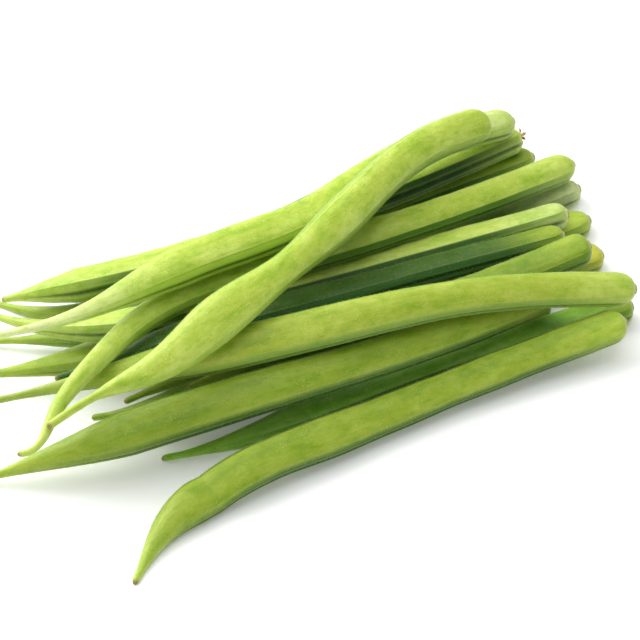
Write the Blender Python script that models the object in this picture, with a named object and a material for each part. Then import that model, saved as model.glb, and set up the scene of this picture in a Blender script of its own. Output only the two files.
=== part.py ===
# A bunch of fresh cluster beans (guar pods) lying in a heap on a table.
# Seventeen pods lie roughly side by side in three layers, stem ends toward +X and
# beaks toward -X. Each pod grew as one piece, so each is one closed loft.
# Metres, +Z up, table at z = 0, origin under the middle of the heap.

import math

import bmesh
import bpy
import numpy as np

MM = 0.001

# The section of a pod, as parts of its width or as exponents of its outline.
THICKNESS = 0.70
BODY_SQUARENESS = 2.8
ROUND = 2.0
GROOVE_DEPTH = 0.09
RIDGE_RISE = 0.03

# The lengthwise shape, as parts of a pod's length.
STEM_SCAR_LENGTH = 0.004
SHOULDER_LENGTH = 0.034
SHOULDER_CURVE = 2.3
STEM_NARROWING = 0.88
FULLEST_FROM = 0.25
FULLEST_AT = 0.60
WAIST_AT = 0.56
WAIST_REACH = 0.15
BEAK_START_CURVE = 1.3
BEAK_THICKNESS = 0.17
BEAK_TIP_LENGTH = 0.008
# Rings on the scar and on the tip, as parts of the scar's and of the tip's length.
SCAR_RINGS = (0.4, 1.1)
TIP_RING = 0.3

STEM_SCAR_RADIUS = 1.2 * MM
PRESS = 0.2 * MM
SKIN_ROUGHNESS = 0.5
BODY_RINGS = 20
SHOULDER_RINGS = 3
ROUTE_SAMPLES = 400

# Corners of the section, in degrees round it from the edge with the suture groove.
# The four ridges stand at 45 degrees to the axes of the section.
RIDGE_ANGLES = (45, 135, 225, 315)
SECTION_ANGLES = (0, 20, 45, 66, 90, 114, 135, 158, 180, 202, 225, 246, 270, 294, 315, 340)

LIGHT_GREEN = (0.36, 0.52, 0.07)
MID_GREEN = (0.25, 0.41, 0.05)
DEEP_GREEN = (0.13, 0.27, 0.03)

# Middle of the heap's outline, in the routes' own millimetres.
HEAP_MIDDLE = (0.0, 4.5)

# Each pod: widest width in mm, roll about its length in degrees, its beak (where it starts
# and ends as parts of the length, and the power of its taper), colour, and its route from
# stem end to beak in mm. A height of 0 in a route is a stretch that lies on the table.
PODS = {
    "pod_floor_1": (8.2, 0, (0.78, 0.97, 1.5), DEEP_GREEN, [
        (79, 48, 0), (36, 43, 0), (-3, 37, 0), (-23, 39, 0), (-40, 47, 0)]),
    "pod_floor_2": (8.2, 0, (0.76, 0.97, 1.5), DEEP_GREEN, [
        (78, 33, 0), (35, 32, 0), (-4, 28, 0), (-29, 29, 3.5), (-44, 36, 0), (-56, 51, 0)]),
    "pod_floor_3": (8.4, 0, (0.78, 0.97, 1.5), MID_GREEN, [
        (80, 17, 0), (35, 16, 0), (-5, 17, 5.5), (-36, 21, 5), (-61, 36, 1.5)]),
    "pod_floor_4": (8.4, 0, (0.78, 0.97, 1.5), DEEP_GREEN, [
        (75, 6, 0), (28, 5, 3.5), (-13, 8, 6.5), (-39, 12, 7.5), (-56, 17, 6.5), (-72, 24, 5)]),
    "pod_floor_5": (8.2, -10, (0.78, 0.97, 1.5), MID_GREEN, [
        (70, -6, 0), (36, -4, 0), (3, -2, 5.5), (-22, 0, 6.5), (-46, 1, 4.5)]),
    "pod_floor_6": (8.4, -5, (0.78, 0.97, 1.5), MID_GREEN, [
        (50, -14, 0), (18, -12, 3.5), (-11, -10, 6.5), (-34, -7, 6), (-53, 2, 2.5)]),
    "pod_floor_7": (8.2, 0, (0.70, 0.97, 1.5), DEEP_GREEN, [
        (65, -24, 0), (32, -21, 0), (2, -20, 0), (-23, -19, 0), (-45, -14, 0)]),
    "pod_floor_8": (8.4, -28, (0.82, 0.99, 1.5), LIGHT_GREEN, [
        (57, -32, 7), (19, -29, 4.5), (-17, -29, 4.5), (-39, -30, 4), (-53, -33, 0), (-65, -42, 0)]),
    "pod_middle_1": (8.8, 14, (0.87, 0.99, 1.5), LIGHT_GREEN, [
        (75, 35, 8), (34, 31, 8.5), (-3, 30, 10), (-31, 33, 9.5), (-55, 43, 5.5)]),
    "pod_middle_2": (8.6, 14, (0.74, 0.97, 1.5), LIGHT_GREEN, [
        (67, 4, 8.5), (23, 7, 10), (-17, 8, 13.5), (-40, 12, 14.5), (-53, 20, 13.5), (-63, 34, 12)]),
    "pod_middle_3": (8.2, 12, (0.76, 0.97, 1.5), MID_GREEN, [
        (61, -3, 9), (25, -1, 11.5), (-9, -1, 15), (-35, 1, 16), (-59, 5, 13.5)]),
    "pod_middle_4": (8.6, -12, (0.76, 0.97, 1.5), MID_GREEN, [
        (62, -11, 11.5), (34, -10, 9.5), (6, -10, 11.5), (-17, -9, 13), (-36, -9, 11.5)]),
    "pod_middle_5": (9.0, -28, (0.75, 0.97, 1.2), MID_GREEN, [
        (46, -19, 10), (5, -21, 12.5), (-30, -18, 13), (-56, -12, 9), (-80, -2, 1)]),
    "pod_top_front": (8.5, -28, (0.66, 0.95, 1.5), LIGHT_GREEN, [
        (62, -28, 11), (25, -20, 18.5), (-12, -15, 21), (-40, -7, 18.5), (-60, 2, 14), (-74, 10, 9.5)]),
    "pod_top_long": (8.1, -20, (0.44, 0.97, 0.8), LIGHT_GREEN, [
        (79, 19, 8.5), (29, 12, 14.5), (-10, 9, 19.5), (-37, 5, 21.5), (-54, -3, 21), (-67, -12, 19.5),
        (-74, -17, 18.5), (-76, -16, 18)]),
    "pod_top_back": (8.5, -14, (0.71, 0.99, 2.2), LIGHT_GREEN, [
        (72, 34, 14), (39, 29, 19), (2, 13, 25), (-31, 8, 28), (-53, 6, 27), (-70, 12, 24)]),
    "pod_top_across": (9.4, -34, (0.72, 0.92, 1.0), LIGHT_GREEN, [
        (61, 29, 20.5), (41, 24, 24), (13, 9, 27), (-14, -5, 28.5), (-31, -11, 28), (-45, -14, 25),
        (-57, -13, 22.5), (-69, -15, 21)]),
}

# Pods that narrow in their middle, as a part of their width.
WAISTS = {"pod_top_across": 0.30}


def smoothstep(x):
    x = np.clip(x, 0.0, 1.0)
    return x * x * (3.0 - 2.0 * x)


def smooth_route(points, stations):
    """Places at these parts of the length of the natural cubic curve through the points."""
    points = np.array(points, float)
    knots = np.append(0.0, np.cumsum(np.linalg.norm(np.diff(points, axis=0), axis=1)))
    gaps = np.diff(knots)[:, None]
    slopes = np.diff(points, axis=0) / gaps
    system = np.eye(len(points))
    bends = np.zeros_like(points)
    for i in range(1, len(points) - 1):
        before, after = gaps[i - 1, 0], gaps[i, 0]
        system[i, i - 1:i + 2] = before, 2 * (before + after), after
        bends[i] = 6 * (slopes[i] - slopes[i - 1])
    bends = np.linalg.solve(system, bends)

    def at(u):
        i = np.clip(np.searchsorted(knots, u, side="right") - 1, 0, len(gaps) - 1)
        w = (u - knots[i])[:, None]
        start = slopes[i] - gaps[i] * (2 * bends[i] + bends[i + 1]) / 6
        curving = w**2 * bends[i] / 2 + w**3 * (bends[i + 1] - bends[i]) / (6 * gaps[i])
        return points[i] + w * start + curving

    fine = np.linspace(0, knots[-1], ROUTE_SAMPLES)
    run = np.append(0.0, np.cumsum(np.linalg.norm(np.diff(at(fine), axis=0), axis=1)))
    return at(np.interp(stations * run[-1], run, fine))


def half_width(s, width, beak, waist):
    """Half the pod's width at parts s of its length: scar, shoulder, body, beak and its round tip."""
    filling = smoothstep((s - FULLEST_FROM) / (FULLEST_AT - FULLEST_FROM))
    body = STEM_NARROWING + (1 - STEM_NARROWING) * filling
    body = body * (1 - waist * smoothstep(1 - np.abs(s - WAIST_AT) / WAIST_REACH))
    beak_from, beak_to, beak_power = beak
    along_beak = np.clip((s - beak_from) / (beak_to - beak_from), 0, 1)
    taper = (1 - along_beak**BEAK_START_CURVE) ** beak_power
    along_shoulder = np.clip((s - STEM_SCAR_LENGTH) / SHOULDER_LENGTH, 0, 1)
    shoulder = (1 - (1 - along_shoulder) ** SHOULDER_CURVE) ** (1 / SHOULDER_CURVE)
    along_tip = np.clip((s - 1 + BEAK_TIP_LENGTH) / BEAK_TIP_LENGTH, 0, 1)
    tip = np.sqrt(1 - along_tip**2)
    pod = width / 2 * body * (BEAK_THICKNESS + (1 - BEAK_THICKNESS) * taper) * shoulder * tip
    scar = STEM_SCAR_RADIUS * np.sqrt(np.clip(2 * s / STEM_SCAR_LENGTH, 0, 1))
    return np.where(s < 0.5, np.maximum(pod, scar), pod)


def section(half, half_thick, squareness, ridged):
    """Rings of (across, up) points: a four-angled outline, ridges proud, a suture groove."""
    angle = np.radians(SECTION_ANGLES)[None, :]
    power = 2 / squareness[:, None]
    across = half[:, None] * np.sign(np.cos(angle)) * np.abs(np.cos(angle)) ** power
    up = half_thick[:, None] * np.sign(np.sin(angle)) * np.abs(np.sin(angle)) ** power
    on_ridge = np.isin(SECTION_ANGLES, RIDGE_ANGLES)[None, :]
    in_groove = np.equal(SECTION_ANGLES, 0)[None, :]
    scale = 1 + ridged[:, None] * (RIDGE_RISE * on_ridge - GROOVE_DEPTH * in_groove)
    return across * scale, up * scale


def pod_stations():
    """Where the rings stand, as parts of the length: on the scar, the shoulder, the body and the tip."""
    turn = np.linspace(0, math.pi / 2, SHOULDER_RINGS + 1)[1:]
    shoulder = STEM_SCAR_LENGTH + SHOULDER_LENGTH * (1 - np.cos(turn))
    body = np.linspace(shoulder[-1], 1 - BEAK_TIP_LENGTH, BODY_RINGS)[1:]
    scar = STEM_SCAR_LENGTH * np.array(SCAR_RINGS)
    return np.concatenate([scar, shoulder, body, [1 - TIP_RING * BEAK_TIP_LENGTH]])


def pod_rings(width, roll, beak, waist, route):
    """The rings of one pod, and the points that close its two ends."""
    s = np.concatenate([[0.0], pod_stations(), [1.0]])
    centre = smooth_route(route, s) * MM
    half = half_width(s, width * MM, beak, waist)
    round_beak = smoothstep((s - beak[0]) / (beak[1] - beak[0]))
    round_stem = 1 - smoothstep(s / (STEM_SCAR_LENGTH + SHOULDER_LENGTH))
    roundness = np.maximum(round_beak, round_stem)
    half_thick = half * (THICKNESS + (1 - THICKNESS) * roundness)
    squareness = BODY_SQUARENESS + (ROUND - BODY_SQUARENESS) * roundness
    turn = math.radians(roll)
    underside = np.hypot(half * math.sin(turn), half_thick * math.cos(turn))
    # The blunt stem end keeps the height at which its shoulder rests, so its scar stays in the middle.
    shoulder_end = np.searchsorted(s, STEM_SCAR_LENGTH + SHOULDER_LENGTH)
    underside[:shoulder_end] = underside[shoulder_end]
    centre[:, 2] = np.maximum(centre[:, 2], underside - PRESS)
    centre[:, :2] -= np.array(HEAP_MIDDLE) * MM

    ahead = np.gradient(centre, axis=0)
    ahead /= np.linalg.norm(ahead, axis=1, keepdims=True)
    level = np.cross([0.0, 0.0, 1.0], ahead)
    level /= np.linalg.norm(level, axis=1, keepdims=True)
    above = np.cross(ahead, level)
    suture_side = math.cos(turn) * level + math.sin(turn) * above
    broad_side = -math.sin(turn) * level + math.cos(turn) * above

    across, up = section(half, half_thick, squareness, 1 - roundness)
    rings = centre[:, None] + across[..., None] * suture_side[:, None]
    rings = rings + up[..., None] * broad_side[:, None]
    rings[..., 2] = np.maximum(rings[..., 2], 0.0)
    return rings[1:-1], centre[0], centre[-1]


def loft(name, rings, stem_end, beak_end):
    """One closed mesh through the rings, with a fan at each end."""
    bm = bmesh.new()
    verts = [[bm.verts.new(point) for point in ring] for ring in rings]
    sides = len(verts[0])
    for near, far in zip(verts, verts[1:]):
        for j in range(sides):
            k = (j + 1) % sides
            bm.faces.new((near[j], far[j], far[k], near[k]))
    for end, ring in ((stem_end, verts[0]), (beak_end, verts[-1])):
        pole = bm.verts.new(end)
        for j in range(sides):
            bm.faces.new((pole, ring[j], ring[(j + 1) % sides]))
    bmesh.ops.recalc_face_normals(bm, faces=bm.faces)
    mesh = bpy.data.meshes.new(name)
    bm.to_mesh(mesh)
    bm.free()
    mesh.shade_smooth()
    return mesh


def pod_material(name, colour):
    material = bpy.data.materials.new(name)
    material.use_nodes = True
    shader = material.node_tree.nodes["Principled BSDF"]
    shader.inputs["Base Color"].default_value = (*colour, 1.0)
    shader.inputs["Roughness"].default_value = SKIN_ROUGHNESS
    shader.inputs["Metallic"].default_value = 0.0
    return material


for leftover in list(bpy.data.objects):
    bpy.data.objects.remove(leftover, do_unlink=True)

bunch = bpy.data.collections.new("cluster_bean_bunch")
bpy.context.scene.collection.children.link(bunch)

for pod_name, (width, roll, beak, colour, route) in PODS.items():
    waist = WAISTS.get(pod_name, 0.0)
    rings, stem_end, beak_end = pod_rings(width, roll, beak, waist, route)
    pod_mesh = loft(pod_name, rings, stem_end, beak_end)
    pod_mesh.materials.append(pod_material(pod_name + "_skin", colour))
    bunch.objects.link(bpy.data.objects.new(pod_name, pod_mesh))
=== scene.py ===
import math

import bpy
import numpy as np
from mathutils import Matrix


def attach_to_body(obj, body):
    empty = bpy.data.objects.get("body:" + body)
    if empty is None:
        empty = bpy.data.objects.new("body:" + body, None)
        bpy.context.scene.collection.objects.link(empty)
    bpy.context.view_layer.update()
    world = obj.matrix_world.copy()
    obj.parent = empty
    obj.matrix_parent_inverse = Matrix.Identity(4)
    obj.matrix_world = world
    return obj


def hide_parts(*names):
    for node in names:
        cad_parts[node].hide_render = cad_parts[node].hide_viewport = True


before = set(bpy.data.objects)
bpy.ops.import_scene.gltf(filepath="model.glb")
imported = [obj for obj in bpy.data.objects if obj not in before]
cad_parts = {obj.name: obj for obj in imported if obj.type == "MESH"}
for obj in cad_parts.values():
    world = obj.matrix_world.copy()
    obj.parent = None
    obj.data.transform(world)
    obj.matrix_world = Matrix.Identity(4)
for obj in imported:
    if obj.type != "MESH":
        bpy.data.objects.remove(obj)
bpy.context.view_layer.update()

# The table and the light. The bunch lies on a plain white sheet, under a window behind it on
# the left and a broad soft box overhead, with little light from the front, so that the sides
# of the pods that face the viewer are far darker than their tops; painted shade in their
# colour darkens many of them further.
MM = 0.001
LOOK_AT = (0.0, -4.5 * MM, 8.0 * MM)
CAMERA_DISTANCE = 0.450
CAMERA_TURN = math.radians(-30.0)
CAMERA_HEIGHT = math.radians(40.0)
PHOTO_SIDE = 640
PIXELS_PER_MM = 4.7
SENSOR_WIDTH = 36.0
FLOOR_RADIUS = 3.0
FLOOR_RINGS = 24
FLOOR_SIDES = 96
FLOOR_WHITE = (0.90, 0.90, 0.90)
FLOOR_ROUGHNESS = 0.8
FLOOR_GLOW = 0.12
SKY_COLOUR = (0.95, 0.98, 1.0)
SKY_STRENGTH = 0.42

bpy.context.scene.view_settings.view_transform = "Standard"


def disc_surface(radius, rings, sides):
    """A flat disc: the reach grows with the square of the first parameter, the second goes round it."""
    reach = radius * np.linspace(0, 1, rings + 1)[1:, None] ** 2
    turn = np.linspace(0, 2 * math.pi, sides, endpoint=False)[None, :]
    grid = np.stack([reach * np.cos(turn), reach * np.sin(turn), np.zeros((rings, sides))], axis=-1)
    return np.concatenate([grid.reshape(-1, 3), [[0.0, 0.0, 0.0]]])


def ring_faces(rings, sides):
    """Quads between rings of points that run anticlockwise about the way from ring to ring, facing out."""
    this = np.arange(rings - 1)[:, None] * sides + np.arange(sides)[None, :]
    after = np.arange(rings - 1)[:, None] * sides + (np.arange(sides)[None, :] + 1) % sides
    return np.stack([this, after, after + sides, this + sides], axis=-1).reshape(-1, 4).tolist()


def fan_faces(pole, ring_start, sides, ahead):
    """Triangles from a pole to a ring of points. The pole is ahead of an anticlockwise ring, or behind it."""
    this = ring_start + np.arange(sides)
    after = ring_start + (np.arange(sides) + 1) % sides
    return np.stack([np.full(sides, pole), *((this, after) if ahead else (after, this))], axis=-1).tolist()


def mesh_object(name, points, faces, material):
    """A smooth-shaded object of one material, with its place in its points."""
    mesh = bpy.data.meshes.new(name)
    mesh.from_pydata(points.tolist(), [], faces)
    mesh.shade_smooth()
    mesh.materials.append(material)
    made = bpy.data.objects.new(name, mesh)
    bpy.context.scene.collection.objects.link(made)
    return made


white_sheet = bpy.data.materials.new("white_sheet")
white_sheet.use_nodes = True
paper = white_sheet.node_tree.nodes["Principled BSDF"]
paper.inputs["Base Color"].default_value = (*FLOOR_WHITE, 1.0)
paper.inputs["Roughness"].default_value = FLOOR_ROUGHNESS
# The sheet glows faintly: painted light that lifts the shadows on it and lights the pods from below.
paper.inputs["Emission Strength"].default_value = FLOOR_GLOW

table_points = disc_surface(FLOOR_RADIUS, FLOOR_RINGS, FLOOR_SIDES)
table_faces = [face[::-1] for face in ring_faces(FLOOR_RINGS, FLOOR_SIDES)]
table_faces += fan_faces(FLOOR_RINGS * FLOOR_SIDES, 0, FLOOR_SIDES, True)
table = mesh_object("table_sheet", table_points, table_faces, white_sheet)


def soft_light(name, place, size, power, colour):
    """A round area light at a place, turned to face the bunch."""
    lamp = bpy.data.lights.new(name, "AREA")
    lamp.shape = "DISK"
    lamp.size = size
    lamp.energy = power
    lamp.color = colour
    holder = bpy.data.objects.new(name, lamp)
    bpy.context.scene.collection.objects.link(holder)
    holder.location = place
    toward = np.array(LOOK_AT) - np.array(place)
    toward /= np.linalg.norm(toward)
    holder.rotation_euler = (math.acos(-toward[2]), 0.0, math.atan2(-toward[0], toward[1]))


soft_light("window_light", place=(-0.45, 0.75, 1.00), size=1.0, power=7.0, colour=(1.0, 0.99, 0.96))
soft_light("overhead_box", place=(-0.15, 0.30, 1.20), size=2.0, power=16.5, colour=(1.0, 1.0, 0.98))
soft_light("back_strip", place=(-0.30, 1.10, 0.45), size=0.9, power=8.0, colour=(1.0, 1.0, 1.0))

sky = bpy.data.worlds.new("studio_sky")
sky.use_nodes = True
sky.node_tree.nodes["Background"].inputs["Color"].default_value = (*SKY_COLOUR, 1.0)
sky.node_tree.nodes["Background"].inputs["Strength"].default_value = SKY_STRENGTH
bpy.context.scene.world = sky

lens = bpy.data.cameras.new("photo_view")
lens.sensor_width = SENSOR_WIDTH
lens.lens = PIXELS_PER_MM * CAMERA_DISTANCE / MM / PHOTO_SIDE * SENSOR_WIDTH
lens.clip_start = 0.01
lens.clip_end = 20.0
camera = bpy.data.objects.new("photo_view", lens)
bpy.context.scene.collection.objects.link(camera)
camera.location = (
    LOOK_AT[0] + CAMERA_DISTANCE * math.sin(CAMERA_TURN) * math.cos(CAMERA_HEIGHT),
    LOOK_AT[1] - CAMERA_DISTANCE * math.cos(CAMERA_TURN) * math.cos(CAMERA_HEIGHT),
    LOOK_AT[2] + CAMERA_DISTANCE * math.sin(CAMERA_HEIGHT),
)
camera.rotation_euler = (math.pi / 2 - CAMERA_HEIGHT, 0.0, CAMERA_TURN)
bpy.context.scene.camera = camera


# The pods. Each is one fresh guar pod, grown in one piece and lying loose: a blunt stem end with a
# small dry scar, a long four-angled body with pale ridges, a groove down the suture and faint
# swellings over the seeds, and a slender beak. The routes are the solids' own.
# The form is the solids' own too: shares of the width, parts of the length, and exponents. The
# middle of the heap is in mm, as the routes are.
THICKNESS = 0.70
BODY_SQUARENESS = 2.8
ROUND = 2.0
STEM_SCAR_LENGTH = 0.004
SHOULDER_LENGTH = 0.034
SHOULDER_CURVE = 2.3
STEM_NARROWING = 0.88
FULLEST_FROM = 0.25
FULLEST_AT = 0.60
WAIST_AT = 0.56
WAIST_REACH = 0.15
BEAK_START_CURVE = 1.3
BEAK_THICKNESS = 0.17
BEAK_TIP_LENGTH = 0.008
STEM_SCAR_RADIUS = 1.2 * MM
PRESS = 0.2 * MM
HEAP_MIDDLE = (0.0, 4.5)

# How many rings and points a pod has, where the rings lie in its scar and its tip as parts of
# these, and how strongly the points gather at the ridges and the groove.
BODY_RINGS = 190
SHOULDER_RINGS = 14
SCAR_RINGS = (0.02, 0.1, 0.25, 0.5, 0.75, 0.95, 1.0)
TIP_RINGS = (0.75, 0.5, 0.3, 0.15, 0.05)
SIDES = 72
EDGE_GATHER = 0.06
ROUTE_SAMPLES = 400

# The relief: heights in metres, angles round the section in radians, and waves as how many, with
# their shortest and longest lengths in metres. The seeds' reach and jitter are parts of their
# spacing, and the hollow between them is a part of their rise.
GROOVE_DEPTH = 0.40 * MM
GROOVE_HALF_ANGLE = 0.11
LIP_RISE = 0.11 * MM
LIP_ANGLE = 0.24
LIP_HALF_ANGLE = 0.10
RIDGE_RISE = 0.14 * MM
RIDGE_HALF_ANGLE = 0.085
DOME_RISE = 0.28 * MM
PLAIN_UNDER = 1.2 * MM
SEED_RISE = 0.16 * MM
SEED_SPACING = 8.2 * MM
SEED_REACH = 0.33
SEED_JITTER = 0.12
SEED_HOLLOW = 0.6
CREASE_RISE = 0.045 * MM
CREASES_ROUND = 9
CREASE_WANDER = 1.4
CREASE_WAVES = (3, 0.05, 0.12)
CREASE_FADE_SHARE = 0.6
WOBBLE = 0.07 * MM
WOBBLE_WAVES = (5, 0.018, 0.06)

# Where each part of the relief and the skin starts and how far it takes to show in full: parts of
# the length, or of the sine or cosine of the angle round the section. Pods rolled further than an
# angle in degrees have a soft edge between their sides.
SEEDS_START = (0.08, 0.15)
SEEDS_END_REACH = 0.12
BROAD_SIDE = (0.3125, 0.625)
CREASES_FADE = (0.05, 0.30)
BARE_SCAR = (0.010, 0.03)
STEM_END = (0.02, 0.16)
RIM = (STEM_SCAR_LENGTH, 0.018)
SCAR = (0.5 * STEM_SCAR_LENGTH, STEM_SCAR_LENGTH)
TIP = (0.9925, 0.006)
MARGIN = (0.10, 0.55)
CRISP_EDGE = (0.675, 0.09)
SOFT_EDGE = (0.675, 0.34)
SOFT_BELOW_ROLL = -25
PALER_BEFORE_BEAK = 0.15

# How much of the narrow sides' colour is lost at the stem end, how much of the ridges' colour is
# on the lips, and how far apart the pods lie on the patterns, in metres.
SIDE_LOST_AT_STEM = 0.6
LIP_SHARE = 0.8
APART_ON_PATTERN = 0.37

CREAM_GREEN = (0.56, 0.66, 0.24)
YELLOW_END = (0.62, 0.58, 0.06)
# Partly the pale colour of a stem end and a beak, partly painted light: it lifts a stem end that lies in
# shade and paints a highlight on a beak.
PALE_GREEN_AND_PAINTED_LIGHT = (0.78, 0.84, 0.45)
PALE_GREEN = (0.49, 0.61, 0.10)
BRIGHT_GREEN = (0.47, 0.60, 0.065)
LIGHT_GREEN = (0.42, 0.54, 0.055)
WARM_GREEN = (0.37, 0.47, 0.036)
LEAF_GREEN = (0.265, 0.370, 0.020)
SPRING_GREEN = (0.300, 0.410, 0.022)
FRESH_GREEN = (0.23, 0.48, 0.040)
FRESH_BEAK = (0.34, 0.62, 0.060)
# Painted shade: a dull green for the parts of pods that lie in the shade of the pods above.
PAINTED_SHADE_DULL_GREEN = (0.23, 0.33, 0.025)
DEEP_GREEN = (0.11, 0.21, 0.020)
# Painted shade: a near-black green for broad sides that lie in the shadow of the pods above.
PAINTED_SHADE_GREEN = (0.048, 0.122, 0.012)
# The narrow sides' colours, from bright to dark, are partly the pods' own darker green and partly painted
# light and shade, set pod by pod as each side lies lit or in shade in the heap.
BRIGHT_SIDE_AND_PAINTED_LIGHT = (0.55, 0.78, 0.090)
SOFT_SIDE = (0.27, 0.42, 0.040)
LIGHT_SIDE = (0.18, 0.33, 0.035)
MID_SIDE_AND_PAINTED_SHADE = (0.080, 0.205, 0.016)
DARK_SIDE_AND_PAINTED_SHADE = (0.030, 0.110, 0.012)
GROOVE_GREEN = (0.020, 0.060, 0.006)
DRY_TIP = (0.30, 0.22, 0.06)
SCAR_PALE = (0.55, 0.50, 0.20)
SCAR_BROWN = (0.20, 0.10, 0.03)

# What is left of each colour where the skin is darker and more yellow, and the part of a pod's
# brightest colour that is added where its skin has a bloom.
RIPE_SHARE = (0.70, 0.84, 0.40)
BLOOM = 0.22

# The patterns in the skin: their stretch along the pod, scale to the metre and detail.
PATCHES = (0.40, 300.0, 3.0)
CLOUDS = (0.60, 850.0, 3.0)
GRAIN = (1.0, 2400.0, 3.0)
LINES = (0.06, 1900.0, 2.0)
FUZZ = (1.0, 3600.0, 2.0)
DOWNY = (1.0, 260.0, 2.0)
CELL_SCALE = 1300.0
BUMP_STRENGTH = 0.6
BUMP_DEPTH = 0.08 * MM

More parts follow.
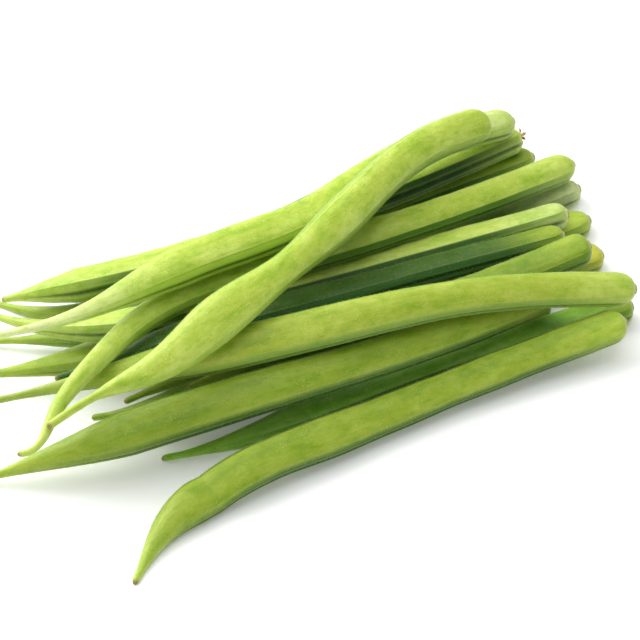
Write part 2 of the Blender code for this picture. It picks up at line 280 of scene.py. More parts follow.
# Each pod: widest width in mm, roll about its length in degrees, its beak (where it starts
# and ends as parts of the length, and the power of its taper), the colours of its broad sides,
# narrow sides, stem end and beak, its slot, and its route from stem end to beak in mm.
PODS = {
    "pod_floor_1": (
        8.2, 0, (0.78, 0.97, 1.5), (DEEP_GREEN, DARK_SIDE_AND_PAINTED_SHADE, DEEP_GREEN, DEEP_GREEN), "deep_skin",
        [(79, 48, 0), (36, 43, 0), (-3, 37, 0), (-23, 39, 0), (-40, 47, 0)]),
    "pod_floor_2": (
        8.2, 0, (0.76, 0.97, 1.5), (PAINTED_SHADE_DULL_GREEN, DARK_SIDE_AND_PAINTED_SHADE, LEAF_GREEN, PALE_GREEN), "deep_skin",
        [(78, 33, 0), (35, 32, 0), (-4, 28, 0), (-29, 29, 3.5), (-44, 36, 0), (-56, 51, 0)]),
    # Its pale stem end carries painted light, for it lies in the shade of the pods above.
    "pod_floor_3": (
        8.4, 0, (0.78, 0.97, 1.5), (DEEP_GREEN, DARK_SIDE_AND_PAINTED_SHADE, PALE_GREEN_AND_PAINTED_LIGHT, LIGHT_GREEN), "mid_skin",
        [(80, 17, 0), (35, 16, 0), (-5, 17, 5.5), (-36, 21, 5), (-61, 36, 1.5)]),
    "pod_floor_4": (
        8.4, 0, (0.78, 0.97, 1.5), (LEAF_GREEN, MID_SIDE_AND_PAINTED_SHADE, LIGHT_GREEN, LIGHT_GREEN), "deep_skin",
        [(75, 6, 0), (28, 5, 3.5), (-13, 8, 6.5), (-39, 12, 7.5), (-56, 17, 6.5), (-72, 24, 5)]),
    "pod_floor_5": (
        8.2, -10, (0.78, 0.97, 1.5), (LEAF_GREEN, MID_SIDE_AND_PAINTED_SHADE, YELLOW_END, LEAF_GREEN), "mid_skin",
        [(70, -6, 0), (36, -4, 0), (3, -2, 5.5), (-22, 0, 6.5), (-46, 1, 4.5)]),
    "pod_floor_6": (
        8.4, -5, (0.78, 0.97, 1.5), (DEEP_GREEN, MID_SIDE_AND_PAINTED_SHADE, LEAF_GREEN, WARM_GREEN), "mid_skin",
        [(50, -14, 0), (18, -12, 3.5), (-11, -10, 6.5), (-34, -7, 6), (-53, 2, 2.5)]),
    "pod_floor_7": (
        8.2, 0, (0.70, 0.97, 1.5), (FRESH_GREEN, MID_SIDE_AND_PAINTED_SHADE, LEAF_GREEN, FRESH_BEAK), "deep_skin",
        [(65, -24, 0), (32, -21, 0), (2, -20, 0), (-23, -19, 0), (-45, -14, 0)]),
    "pod_floor_8": (
        8.4, -28, (0.82, 0.99, 1.5), (SPRING_GREEN, DARK_SIDE_AND_PAINTED_SHADE, BRIGHT_GREEN, PALE_GREEN), "light_skin",
        [(57, -32, 7), (19, -29, 4.5), (-17, -29, 4.5), (-39, -30, 4), (-53, -33, 0), (-65, -42, 0)]),
    "pod_middle_1": (
        8.8, 14, (0.87, 0.99, 1.5), (BRIGHT_GREEN, DARK_SIDE_AND_PAINTED_SHADE, PALE_GREEN, LIGHT_GREEN), "light_skin",
        [(75, 35, 8), (34, 31, 8.5), (-3, 30, 10), (-31, 33, 9.5), (-55, 43, 5.5)]),
    "pod_middle_2": (
        8.6, 14, (0.74, 0.97, 1.5), (PALE_GREEN, DARK_SIDE_AND_PAINTED_SHADE, CREAM_GREEN, LIGHT_GREEN), "light_skin",
        [(67, 4, 8.5), (23, 7, 10), (-17, 8, 13.5), (-40, 12, 14.5), (-53, 20, 13.5), (-63, 34, 12)]),
    # Its broad sides and beak are painted shade, darker than its own green, as the pods above shade it.
    "pod_middle_3": (
        8.2, 12, (0.76, 0.97, 1.5), (PAINTED_SHADE_GREEN, DARK_SIDE_AND_PAINTED_SHADE, WARM_GREEN, PAINTED_SHADE_GREEN), "mid_skin",
        [(61, -3, 9), (25, -1, 11.5), (-9, -1, 15), (-35, 1, 16), (-59, 5, 13.5)]),
    # Its broad sides are painted shade, with a paler stem end where the light reaches it.
    "pod_middle_4": (
        8.6, -12, (0.76, 0.97, 1.5), (PAINTED_SHADE_DULL_GREEN, MID_SIDE_AND_PAINTED_SHADE, SPRING_GREEN, WARM_GREEN), "mid_skin",
        [(62, -11, 11.5), (34, -10, 9.5), (6, -10, 11.5), (-17, -9, 13), (-36, -9, 11.5)]),
    "pod_middle_5": (
        9.0, -28, (0.75, 0.97, 1.2), (LEAF_GREEN, DARK_SIDE_AND_PAINTED_SHADE, WARM_GREEN, WARM_GREEN), "mid_skin",
        [(46, -19, 10), (5, -21, 12.5), (-30, -18, 13), (-56, -12, 9), (-80, -2, 1)]),
    # Its beak is painted shade, where the pod across it shades it.
    "pod_top_front": (
        8.5, -28, (0.66, 0.95, 1.5), (WARM_GREEN, LIGHT_SIDE, PALE_GREEN, PAINTED_SHADE_DULL_GREEN), "light_skin",
        [(62, -28, 11), (25, -20, 18.5), (-12, -15, 21), (-40, -7, 18.5), (-60, 2, 14), (-74, 10, 9.5)]),
    "pod_top_long": (
        8.1, -20, (0.44, 0.97, 0.8), (LIGHT_GREEN, MID_SIDE_AND_PAINTED_SHADE, PALE_GREEN, PALE_GREEN), "light_skin",
        [(79, 19, 8.5), (29, 12, 14.5), (-10, 9, 19.5), (-37, 5, 21.5), (-54, -3, 21), (-67, -12, 19.5),
         (-74, -17, 18.5), (-76, -16, 18)]),
    # Its beak's pale colour is partly a painted highlight.
    "pod_top_back": (
        8.5, -14, (0.71, 0.99, 2.2), (BRIGHT_GREEN, BRIGHT_SIDE_AND_PAINTED_LIGHT, CREAM_GREEN, PALE_GREEN_AND_PAINTED_LIGHT), "light_skin",
        [(72, 34, 14), (39, 29, 19), (2, 13, 25), (-31, 8, 28), (-53, 6, 27), (-70, 12, 24)]),
    "pod_top_across": (
        9.4, -34, (0.72, 0.92, 1.0), (BRIGHT_GREEN, SOFT_SIDE, LIGHT_GREEN, LIGHT_GREEN), "light_skin",
        [(61, 29, 20.5), (41, 24, 24), (13, 9, 27), (-14, -5, 28.5), (-31, -11, 28), (-45, -14, 25),
         (-57, -13, 22.5), (-69, -15, 21)]),
}
# Pods that narrow in their middle, as a part of their width.
WAISTS = {"pod_top_across": 0.30}


def smoothstep(x):
    """Nought to one with level ends: three times the square less twice the cube."""
    x = np.clip(x, 0.0, 1.0)
    return x * x * (3.0 - 2.0 * x)


def rising(x, start, reach):
    """Nought up to a start, then smoothly to one over a reach."""
    return smoothstep((x - start) / reach)


def hump(distance, reach):
    """A round-topped bump, one at its middle and nought past its reach."""
    return smoothstep(1 - np.abs(distance) / reach)


def waves(rng, along, count, shortest, longest):
    """A sum of sines of random length and phase, about one high."""
    lengths = rng.uniform(shortest, longest, count)[:, None]
    phases = rng.uniform(0, 2 * math.pi, count)[:, None]
    return np.sin(2 * math.pi * along[None, :] / lengths + phases).sum(axis=0) / math.sqrt(count)


def smooth_route(points, stations):
    """The natural cubic curve through the points, read at parts of its own length, and that length."""
    points = np.array(points, float)
    knots = np.append(0.0, np.cumsum(np.linalg.norm(np.diff(points, axis=0), axis=1)))
    gaps = np.diff(knots)[:, None]
    slopes = np.diff(points, axis=0) / gaps
    inner = np.arange(1, len(points) - 1)
    system = np.eye(len(points))
    system[inner, inner - 1] = gaps[:-1, 0]
    system[inner, inner] = 2 * (gaps[:-1, 0] + gaps[1:, 0])
    system[inner, inner + 1] = gaps[1:, 0]
    bends = np.zeros_like(points)
    bends[inner] = 6 * (slopes[1:] - slopes[:-1])
    bends = np.linalg.solve(system, bends)

    def at(u):
        i = np.clip(np.searchsorted(knots, u, side="right") - 1, 0, len(gaps) - 1)
        w = (u - knots[i])[:, None]
        start = slopes[i] - gaps[i] * (2 * bends[i] + bends[i + 1]) / 6
        return points[i] + w * start + w**2 * bends[i] / 2 + w**3 * (bends[i + 1] - bends[i]) / (6 * gaps[i])

    fine = np.linspace(0, knots[-1], ROUTE_SAMPLES)
    run = np.append(0.0, np.cumsum(np.linalg.norm(np.diff(at(fine), axis=0), axis=1)))
    return at(np.interp(stations * run[-1], run, fine)), run[-1] * MM


def half_width(s, width, beak, waist):
    """Half the width at parts s of the length: the product of a quarter-round shoulder, body, falling beak
    and round tip, or the stem scar where that is wider."""
    filling = smoothstep((s - FULLEST_FROM) / (FULLEST_AT - FULLEST_FROM))
    body = STEM_NARROWING + (1 - STEM_NARROWING) * filling
    body = body * (1 - waist * smoothstep(1 - np.abs(s - WAIST_AT) / WAIST_REACH))
    beak_from, beak_to, beak_power = beak
    along_beak = np.clip((s - beak_from) / (beak_to - beak_from), 0, 1)
    taper = (1 - along_beak**BEAK_START_CURVE) ** beak_power
    along_shoulder = np.clip((s - STEM_SCAR_LENGTH) / SHOULDER_LENGTH, 0, 1)
    shoulder = (1 - (1 - along_shoulder) ** SHOULDER_CURVE) ** (1 / SHOULDER_CURVE)
    along_tip = np.clip((s - 1 + BEAK_TIP_LENGTH) / BEAK_TIP_LENGTH, 0, 1)
    tip = np.sqrt(1 - along_tip**2)
    pod = width / 2 * body * (BEAK_THICKNESS + (1 - BEAK_THICKNESS) * taper) * shoulder * tip
    scar = STEM_SCAR_RADIUS * np.sqrt(np.clip(2 * s / STEM_SCAR_LENGTH, 0, 1))
    return np.where(s < 0.5, np.maximum(pod, scar), pod)


def pod_stations():
    """Parts of the length, close together over the scar, the shoulder and the beak's tip."""
    turn = np.linspace(0, math.pi / 2, SHOULDER_RINGS + 1)[1:]
    shoulder = STEM_SCAR_LENGTH + SHOULDER_LENGTH * (1 - np.cos(turn))
    body = np.linspace(shoulder[-1], 1 - BEAK_TIP_LENGTH, BODY_RINGS)[1:]
    tip = 1 - BEAK_TIP_LENGTH * np.array(TIP_RINGS)
    return np.concatenate([[0.0], STEM_SCAR_LENGTH * np.array(SCAR_RINGS), shoulder, body, tip, [1.0]])


def pod_line(s, width, roll, beak, waist, route):
    """The middle line at parts s of the length, the length itself, half the width, half the thickness, the
    outline's exponent, and how round it is. The thickness and the exponent go from the body's to a round
    rod's toward both ends. The line is raised wherever the pod would reach below the table."""
    centre, length = smooth_route(route, s)
    centre = centre * MM
    half = half_width(s, width * MM, beak, waist)
    round_beak = smoothstep((s - beak[0]) / (beak[1] - beak[0]))
    round_stem = 1 - smoothstep(s / (STEM_SCAR_LENGTH + SHOULDER_LENGTH))
    roundness = np.maximum(round_beak, round_stem)
    half_thick = half * (THICKNESS + (1 - THICKNESS) * roundness)
    squareness = BODY_SQUARENESS + (ROUND - BODY_SQUARENESS) * roundness
    turn = math.radians(roll)
    underside = np.hypot(half * math.sin(turn), half_thick * math.cos(turn))
    # The blunt stem end keeps the height at which its shoulder rests, so its scar stays in the middle.
    shoulder_end = np.searchsorted(s, STEM_SCAR_LENGTH + SHOULDER_LENGTH)
    underside[:shoulder_end] = underside[shoulder_end]
    centre[:, 2] = np.maximum(centre[:, 2], underside - PRESS)
    centre[:, :2] -= np.array(HEAP_MIDDLE) * MM
    return centre, length, half, half_thick, squareness, roundness


def section_directions(s, centre, roll):
    """The ways across the line toward the suture and toward the upper broad side: the level way and the
    upward way, turned about the line by the roll."""
    ahead = np.gradient(centre, s, axis=0)
    ahead /= np.linalg.norm(ahead, axis=1, keepdims=True)
    level = np.cross([0.0, 0.0, 1.0], ahead)
    level /= np.linalg.norm(level, axis=1, keepdims=True)
    above = np.cross(ahead, level)
    turn = math.radians(roll)
    return math.cos(turn) * level + math.sin(turn) * above, math.cos(turn) * above - math.sin(turn) * level


def pod_relief(rng, s, along, beak, angle, body):
    """How far the skin stands off the plain section, and the ridges, groove and lips in it. Ridges stand at
    the four angles, and lips beside the suture's groove. Bell curves over the seeds swell the broad sides,
    which are domed. Creases are sines round the section that wander along it, and a sum of sines along it
    is a wobble."""
    from_suture = np.abs((angle + math.pi) % (2 * math.pi) - math.pi)
    from_ridge = np.abs((angle % (math.pi / 2)) - math.pi / 4)
    ridge = hump(from_ridge, RIDGE_HALF_ANGLE) * body
    groove = hump(from_suture, GROOVE_HALF_ANGLE) * body
    lips = hump(from_suture - LIP_ANGLE, LIP_HALF_ANGLE) * body

    seeds = np.arange(int(along[-1] / SEED_SPACING) + 2) * SEED_SPACING
    seeds = seeds + rng.uniform(-SEED_JITTER, SEED_JITTER, len(seeds)) * SEED_SPACING
    from_seeds = (along[:, None] - seeds[None, :]) / (SEED_REACH * SEED_SPACING)
    over_seed = np.exp(-(from_seeds**2)).sum(axis=1)
    broad = rising(np.abs(np.sin(angle)), *BROAD_SIDE)
    with_seeds = rising(s, *SEEDS_START) * (1 - rising(s, beak[0], SEEDS_END_REACH))
    seed_swell = over_seed[:, None] * broad * with_seeds[:, None]

    crease = np.sin(angle * CREASES_ROUND + waves(rng, along, *CREASE_WAVES)[:, None] * CREASE_WANDER)
    crease = crease * (1 - CREASE_FADE_SHARE * rising(s, *CREASES_FADE))[:, None] * body
    wobble = waves(rng, along, *WOBBLE_WAVES)[:, None] * WOBBLE * body
    dome = np.clip(2 * np.sin(angle) ** 2 - 1, 0, 1) * body
    rise = RIDGE_RISE * ridge + LIP_RISE * lips - GROOVE_DEPTH * groove + DOME_RISE * dome
    rise = rise + SEED_RISE * (seed_swell - SEED_HOLLOW * broad * body) + CREASE_RISE * crease + wobble
    return rise, ridge, groove, lips


def skin_masks(s, roll, beak, angle, ridge, groove, lips):
    """Where each part of the skin shows, from nought to one: smooth steps of the place along the pod, and
    of the cosine of the angle round it, which is one on the narrow sides."""
    s = s[:, None]
    off_scar = rising(s, *BARE_SCAR)
    stem_end = 1 - rising(s, *STEM_END)
    paler_from = beak[0] - PALER_BEFORE_BEAK
    toward_beak = smoothstep((s - paler_from) / (1 - paler_from))
    round_side = np.abs(np.cos(angle))
    narrow = rising(round_side, *(CRISP_EDGE if roll > SOFT_BELOW_ROLL else SOFT_EDGE))
    return {
        "ridge": np.maximum(ridge, LIP_SHARE * lips) * off_scar,
        "groove": groove,
        "narrow": narrow * off_scar * (1 - SIDE_LOST_AT_STEM * stem_end) * (1 - toward_beak),
        "margin": rising(round_side, *MARGIN) * off_scar,
        "scar": 1 - rising(s, *SCAR),
        "rim": 1 - rising(s, *RIM),
        "tip": rising(s, *TIP),
        "stem_end": stem_end,
        "beak": smoothstep((s - beak[0]) / (1 - beak[0])),
    }


def pod_surface(seed, width, roll, beak, waist, route):
    """A four-angled section carried along the route: a superellipse that turns round toward both ends, with
    the relief added along its own reach. It gives the points, their places on the straightened pod, and the
    masks for the skin."""
    rng = np.random.default_rng(seed)
    s = pod_stations()
    centre, length, half, half_thick, squareness, roundness = pod_line(s, width, roll, beak, waist, route)
    suture_side, broad_side = section_directions(s, centre, roll)

    angle = np.linspace(0, 2 * math.pi, SIDES, endpoint=False)[None, :]
    # Points gather at the groove and at the ridges, where the outline turns sharply.
    angle = angle - EDGE_GATHER * np.sin(8 * angle)
    power = 2 / squareness[:, None]
    across = half[:, None] * np.sign(np.cos(angle)) * np.abs(np.cos(angle)) ** power
    up = half_thick[:, None] * np.sign(np.sin(angle)) * np.abs(np.sin(angle)) ** power

    along = s * length
    rise, ridge, groove, lips = pod_relief(rng, s, along, beak, angle, (1 - roundness)[:, None])
    reach = np.hypot(across, up) + 1e-9
    scale = 1 + rise / reach * smoothstep(reach / PLAIN_UNDER)
    across = across * scale
    up = up * scale
    points = centre[:, None] + across[..., None] * suture_side[:, None] + up[..., None] * broad_side[:, None]
    points[..., 2] = np.maximum(points[..., 2], 0.0)
    on_pattern = np.broadcast_to(along[:, None] + seed * APART_ON_PATTERN, across.shape)
    straight = np.stack([on_pattern, across, up], axis=-1)
    return points, straight, skin_masks(s, roll, beak, angle, ridge, groove, lips)


def tube_rows(grid):
    """The rows of a pod's grid as a list of points: its rings, then the two rings shrunk to a point."""
    return np.concatenate([grid[1:-1].reshape(-1, grid.shape[2]), grid[:1, 0], grid[-1:, 0]])


def attach(mesh, name, kind, values):
    """One value for each point of the mesh."""
    layer = mesh.attributes.new(name, kind, "POINT")
    layer.data.foreach_set("vector" if kind == "FLOAT_VECTOR" else "value", values.ravel().astype(np.float32))


def set_inputs(tree, node, values):
    """Gives a node's inputs their values; a socket is linked."""
    for key, value in values.items():
        if isinstance(value, bpy.types.NodeSocket):
            tree.links.new(value, node.inputs[key])
        elif isinstance(value, tuple) and node.inputs[key].type == "RGBA":
            node.inputs[key].default_value = (*value, 1.0)
        else:
            node.inputs[key].default_value = value


def shader_node(tree, kind, inputs, **settings):
    """A node of a kind with its settings and inputs."""
    made = tree.nodes.new(kind)
    for key, value in settings.items():
        setattr(made, key, value)
    set_inputs(tree, made, inputs)
    return made


def blend_colour(tree, amount, first, second, kind="MIX"):
    """Mixes two colours, or multiplies or adds the second; each input is a socket or a value."""
    mix = shader_node(tree, "ShaderNodeMix", {}, data_type="RGBA", blend_type=kind)
    set_inputs(tree, mix, {0: amount, 6: first, 7: second})
    return mix.outputs[2]


def ramp(tree, value, low, high, to_low=0.0, to_high=1.0):
    """Maps low..high of a value to to_low..to_high with smooth ends."""
    inputs = {"Value": value, "From Min": low, "From Max": high, "To Min": to_low, "To Max": to_high}
    return shader_node(tree, "ShaderNodeMapRange", inputs, interpolation_type="SMOOTHSTEP").outputs["Result"]


def times(tree, first, second):
    """The product of two values."""
    return shader_node(tree, "ShaderNodeMath", {0: first, 1: second}, operation="MULTIPLY").outputs[0]


def plus(tree, first, second):
    """The sum of two values."""
    return shader_node(tree, "ShaderNodeMath", {0: first, 1: second}, operation="ADD").outputs[0]


def pattern(tree, place, stretch, scale, detail):
    """Cloudy noise about a half, stretched along the first axis."""
    along = shader_node(tree, "ShaderNodeMapping", {"Vector": place, "Scale": (stretch, 1.0, 1.0)})
    inputs = {"Vector": along.outputs["Vector"], "Scale": scale, "Detail": detail}
    return shader_node(tree, "ShaderNodeTexNoise", inputs).outputs["Fac"]


def tinted(colour, shares, lifts):
    """A relative of a colour: a share of each of its parts, and a lift."""
    return tuple(part * share + lift for part, share, lift in zip(colour, shares, lifts))


def pod_skin(name, face, side, stem_end, beak):
    """Fresh pod skin: yellow-green broad sides, darker narrow sides and groove, pale ridges, beak and stem
    end, with cloudy mottling, fine lengthwise lines, and pale flecks of down; satin with a faint sheen.
    The narrow sides' colour is partly painted shade and light; some pods' broad sides and beaks carry
    painted shade, and some stem ends and beaks painted light."""
    material = bpy.data.materials.new(name)
    material.use_nodes = True
    tree = material.node_tree
    mask = {key: shader_node(tree, "ShaderNodeAttribute", {}, attribute_name=key).outputs["Fac"]
            for key in ("ridge", "groove", "narrow", "margin", "scar", "rim", "tip", "stem_end", "beak")}
    straight = shader_node(tree, "ShaderNodeAttribute", {}, attribute_name="straight").outputs["Vector"]
    patches = pattern(tree, straight, *PATCHES)
    clouds = pattern(tree, straight, *CLOUDS)
    grain = pattern(tree, straight, *GRAIN)
    lines = pattern(tree, straight, *LINES)
    fuzz = pattern(tree, straight, *FUZZ)
    downy = ramp(tree, pattern(tree, straight, *DOWNY), 0.44, 0.62)
    cells = shader_node(tree, "ShaderNodeTexVoronoi", {"Vector": straight, "Scale": CELL_SCALE})
    on_broad = ramp(tree, mask["narrow"], 0.0, 0.6, 1.0, 0.15)
    specks = times(tree, ramp(tree, cells.outputs["Distance"], 0.10, 0.34, 1.0, 0.0), on_broad)
    flecks = times(tree, times(tree, ramp(tree, fuzz, 0.52, 0.68), downy), on_broad)

    bloom = (BLOOM * max(face), BLOOM * max(face), BLOOM * max(face) ** 2)
    fleck = tinted(face, (1.25, 1.15, 1.3), (0.12, 0.11, 0.06))
    ridge_line = tinted(face, (0.85, 0.90, 0.9), (0.09, 0.11, 0.04))
    cream = tinted(face, (0.45, 0.45, 0.45), (0.32, 0.34, 0.13))
    scar = blend_colour(tree, ramp(tree, grain, 0.50, 0.58), SCAR_PALE, SCAR_BROWN)
    # Each layer over the broad sides' colour: how much of it, its colour, and how it is laid on.
    layers = (
        (times(tree, mask["stem_end"], 0.85), stem_end, "MIX"),
        (times(tree, mask["beak"], 0.85), beak, "MIX"),
        (times(tree, mask["margin"], 0.42), bloom, "ADD"),
        (ramp(tree, patches, 0.48, 0.66, 0.0, 0.80), RIPE_SHARE, "MULTIPLY"),
        (ramp(tree, patches, 0.30, 0.48, 0.60, 0.0), bloom, "ADD"),
        (ramp(tree, clouds, 0.50, 0.70, 0.0, 0.60), RIPE_SHARE, "MULTIPLY"),
        (ramp(tree, clouds, 0.28, 0.46, 0.40, 0.0), bloom, "ADD"),
        (ramp(tree, lines, 0.50, 0.72, 0.0, 0.35), RIPE_SHARE, "MULTIPLY"),
        # The narrow sides' colour: partly their own darker green, partly painted shade and light.
        (times(tree, mask["narrow"], 0.98), side, "MIX"),
        (times(tree, mask["ridge"], 0.60), ridge_line, "MIX"),
        (ramp(tree, grain, 0.50, 0.80, 0.0, 0.45), RIPE_SHARE, "MULTIPLY"),
        (times(tree, specks, 0.30), bloom, "ADD"),
        (times(tree, flecks, 0.60), fleck, "MIX"),
        (times(tree, mask["groove"], 0.80), GROOVE_GREEN, "MIX"),
        (times(tree, mask["rim"], 0.75), cream, "MIX"),
        (mask["tip"], DRY_TIP, "MIX"),
        (mask["scar"], scar, "MIX"),
    )
    base = face
    for amount, colour, kind in layers:
        base = blend_colour(tree, amount, base, colour, kind)

    height = plus(tree, times(tree, lines, 0.8), times(tree, clouds, 0.6))
    height = plus(tree, height, times(tree, grain, 0.5))
    height = plus(tree, height, times(tree, flecks, 0.5))
    bump_inputs = {"Strength": BUMP_STRENGTH, "Distance": BUMP_DEPTH, "Height": height}
    set_inputs(tree, tree.nodes["Principled BSDF"], {
        "Base Color": base,
        "Roughness": ramp(tree, grain, 0.3, 0.7, 0.40, 0.54),
        "Specular IOR Level": 0.26,
        "Coat Weight": 0.12,
        "Coat Roughness": 0.30,
        "Sheen Weight": 0.10,
        "Sheen Roughness": 0.45,
        "Sheen Tint": (0.90, 1.0, 0.60),
        "Subsurface Weight": 0.15,
        "Subsurface Radius": (0.9, 1.0, 0.25),
        "Subsurface Scale": 1.0 * MM,
        "Normal": shader_node(tree, "ShaderNodeBump", bump_inputs).outputs["Normal"],
    })
    return material


surfaces = {}
for seed, (pod, (width, roll, beak, skin, slot, route)) in enumerate(PODS.items()):
    surface, straight, masks = pod_surface(seed, width, roll, beak, WAISTS.get(pod, 0.0), route)
    surfaces[pod] = surface
    rings, sides = surface.shape[0] - 2, surface.shape[1]
    pod_faces = ring_faces(rings, sides)
    pod_faces += fan_faces(rings * sides, 0, sides, False)
    pod_faces += fan_faces(rings * sides + 1, (rings - 1) * sides, sides, True)
    piece = mesh_object(pod + "_fine", tube_rows(surface), pod_faces, pod_skin(pod + "_skin", *skin))
    attach(piece.data, "straight", "FLOAT_VECTOR", tube_rows(straight))
    for key, mask in masks.items():
        attach(piece.data, key, "FLOAT", tube_rows(np.broadcast_to(mask, surface.shape[:2])[..., None]))
    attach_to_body(piece, "root")
    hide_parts(pod)


# The down. Young pods are covered in short stiff pale hairs that lie toward the beak; they catch
# the light as fine flecks and soften the pods' edges. Each is a slim three-sided spike whose
# root is sunk in the skin.
HAIRS = 6000
HAIR_LENGTH = (0.22 * MM, 0.55 * MM)
HAIR_RADIUS = 0.032 * MM
HAIR_SUNK = 0.05 * MM
HAIR_LEAN = 0.8
HAIR_SCATTER = 0.35
BARE_UNDERSIDE = 0.7 * MM
BARE_SCAR_RINGS = 10
BARE_TIP_RINGS = 2
DOWN_SEED = 100
HAIR_PATTERN = (1.0, 700.0, 1.0)
HAIR_GREEN = (0.32, 0.46, 0.12)
HAIR_STRAW = (0.64, 0.74, 0.38)


def unit(vectors):
    """The same directions, one long."""
    return vectors / np.maximum(np.linalg.norm(vectors, axis=-1, keepdims=True), 1e-12)


def pod_down(rng, surface):
    """Spikes at random places, as many to the square millimetre all along the pod. Each has three root points
    round its own way, which is outward, leaning ahead, and a little at random, and one tip."""
    girth = np.linalg.norm(surface - np.roll(surface, 1, axis=1), axis=-1).sum(axis=1)
    step = np.linalg.norm(np.diff(surface.mean(axis=1), axis=0), axis=1)
    share = step * girth[:-1]
    share[:BARE_SCAR_RINGS] = 0
    share[-BARE_TIP_RINGS:] = 0
    row = rng.choice(len(share), HAIRS, p=share / share.sum())
    column = rng.integers(0, surface.shape[1], HAIRS)
    here = surface[row, column]
    ahead = surface[row + 1, column] - here
    around = surface[row, (column + 1) % surface.shape[1]] - here
    root = here + rng.random((HAIRS, 1)) * ahead + rng.random((HAIRS, 1)) * around
    outward = unit(np.cross(around, ahead))
    way = unit(outward + HAIR_LEAN * unit(ahead) + HAIR_SCATTER * rng.standard_normal((HAIRS, 3)))
    first = unit(np.cross(way, ahead))
    second = np.cross(way, first)
    turn = 2 * math.pi / 3 * np.arange(3)[None, :, None]
    ring = first[:, None] * np.cos(turn) + second[:, None] * np.sin(turn)
    roots = (root - HAIR_SUNK * outward)[:, None] + HAIR_RADIUS * ring
    tips = root + way * rng.uniform(*HAIR_LENGTH, (HAIRS, 1))
    points = np.concatenate([roots, tips[:, None]], axis=1)[root[:, 2] > BARE_UNDERSIDE]
    start = 4 * np.arange(len(points))[:, None]
    corners = np.array([[0, 1, 3], [1, 2, 3], [2, 0, 3], [2, 1, 0]])[:, None]
    return points.reshape(-1, 3), (start + corners).reshape(-1, 3).tolist()


def down_hair():
    """Pale straw-green hair, paler on some hairs than on others."""
    material = bpy.data.materials.new("down_hair")
    material.use_nodes = True
    tree = material.node_tree
    place = shader_node(tree, "ShaderNodeTexCoord", {}).outputs["Object"]
    shade = ramp(tree, pattern(tree, place, *HAIR_PATTERN), 0.35, 0.65)
    set_inputs(tree, tree.nodes["Principled BSDF"], {
        "Base Color": blend_colour(tree, shade, HAIR_GREEN, HAIR_STRAW),
        "Roughness": 0.45,
        "Specular IOR Level": 0.5,
    })
    return material


hair_skin = down_hair()
for seed, (pod, surface) in enumerate(surfaces.items()):
    down = mesh_object(pod + "_down", *pod_down(np.random.default_rng(DOWN_SEED + seed), surface), hair_skin)
    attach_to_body(down, "root")


# The dry calyx. On one pod some narrow papery sepals are left round the scar where the flower
# stalk sat, brown and curled back.
SEPALS = 6
SEPAL_RINGS = 12
SEPAL_SIDES = 8
SEPAL_LENGTH = 1.9 * MM
SEPAL_WIDTH = 0.40 * MM
SEPAL_THICKNESS = 0.10 * MM
SEPAL_START = 0.5
SEPAL_CURL = (0.9, 2.2)
SEPAL_SHARE = (0.6, 1.1)
SEPAL_UNEVEN = 0.3
SEPAL_SUNK = 0.3 * MM
SEPAL_RING = 0.7 * MM
SEPAL_NECK = 0.2
SEPAL_FULLNESS = 0.7
SEPAL_POINT = 0.02
CALYX_SEED = 7
STREAK_PATTERN = (1.0, 1400.0, 3.0)
DRY_STRAW = (0.74, 0.62, 0.32)
DRY_BROWN = (0.40, 0.24, 0.08)
WITH_CALYX = "pod_middle_1"


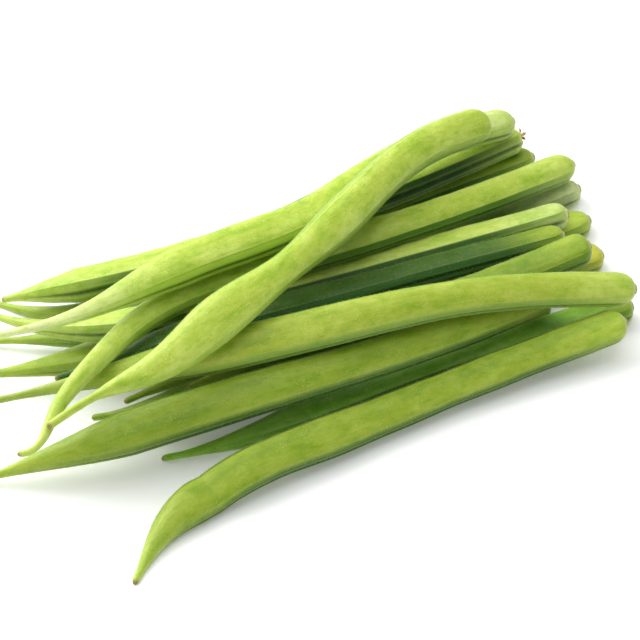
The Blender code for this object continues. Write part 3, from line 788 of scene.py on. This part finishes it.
def dry_sepals(rng, surface):
    """Flat pointed tubes round the stem scar. Each follows an arc that leaves the scar outward at a slant and
    turns away from the pod's line; its section is a thin ellipse that swells and then runs out to a point."""
    root = surface[0, 0]
    out = unit(root - surface[BARE_SCAR_RINGS].mean(axis=0))
    side = unit(np.cross(out, [0.0, 0.0, 1.0]))
    above = np.cross(side, out)
    along = np.linspace(0, 1, SEPAL_RINGS)[:, None]
    swell = np.sin(math.pi * (SEPAL_NECK + (1 - SEPAL_NECK) * along)) ** SEPAL_FULLNESS + SEPAL_POINT
    turn = np.linspace(0, 2 * math.pi, SEPAL_SIDES, endpoint=False)[None, :, None]
    points, faces = [], []
    for number in range(SEPALS):
        around = 2 * math.pi * (number + rng.uniform(-SEPAL_UNEVEN, SEPAL_UNEVEN)) / SEPALS
        spread = math.cos(around) * side + math.sin(around) * above
        curl = rng.uniform(*SEPAL_CURL)
        reach = SEPAL_LENGTH * rng.uniform(*SEPAL_SHARE) / curl
        bend = SEPAL_START + curl * along
        path = root - SEPAL_SUNK * out + SEPAL_RING * spread
        path = path + reach * (np.sin(bend) - math.sin(SEPAL_START)) * out
        path = path + reach * (math.cos(SEPAL_START) - np.cos(bend)) * spread
        across = unit(np.cross(spread, out))
        flat = np.cross(np.cos(bend) * out + np.sin(bend) * spread, across)
        section = np.cos(turn) * SEPAL_WIDTH * across + np.sin(turn) * SEPAL_THICKNESS * flat[:, None]
        blade = path[:, None] + swell[:, None] * section
        start = sum(len(part) for part in points)
        points += [blade.reshape(-1, 3), path[:1], path[-1:]]
        own = ring_faces(SEPAL_RINGS, SEPAL_SIDES)
        own += fan_faces(SEPAL_RINGS * SEPAL_SIDES, 0, SEPAL_SIDES, False)
        own += fan_faces(SEPAL_RINGS * SEPAL_SIDES + 1, (SEPAL_RINGS - 1) * SEPAL_SIDES, SEPAL_SIDES, True)
        faces += [[corner + start for corner in face] for face in own]
    return np.concatenate(points), faces


def dry_papery():
    """Dry calyx: straw colour with brown streaks."""
    material = bpy.data.materials.new("dry_papery")
    material.use_nodes = True
    tree = material.node_tree
    place = shader_node(tree, "ShaderNodeTexCoord", {}).outputs["Object"]
    streaks = ramp(tree, pattern(tree, place, *STREAK_PATTERN), 0.40, 0.62)
    set_inputs(tree, tree.nodes["Principled BSDF"], {
        "Base Color": blend_colour(tree, streaks, DRY_STRAW, DRY_BROWN),
        "Roughness": 0.75,
    })
    return material


sepals = dry_sepals(np.random.default_rng(CALYX_SEED), surfaces[WITH_CALYX])
calyx = mesh_object(WITH_CALYX + "_calyx", *sepals, dry_papery())
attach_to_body(calyx, "root")
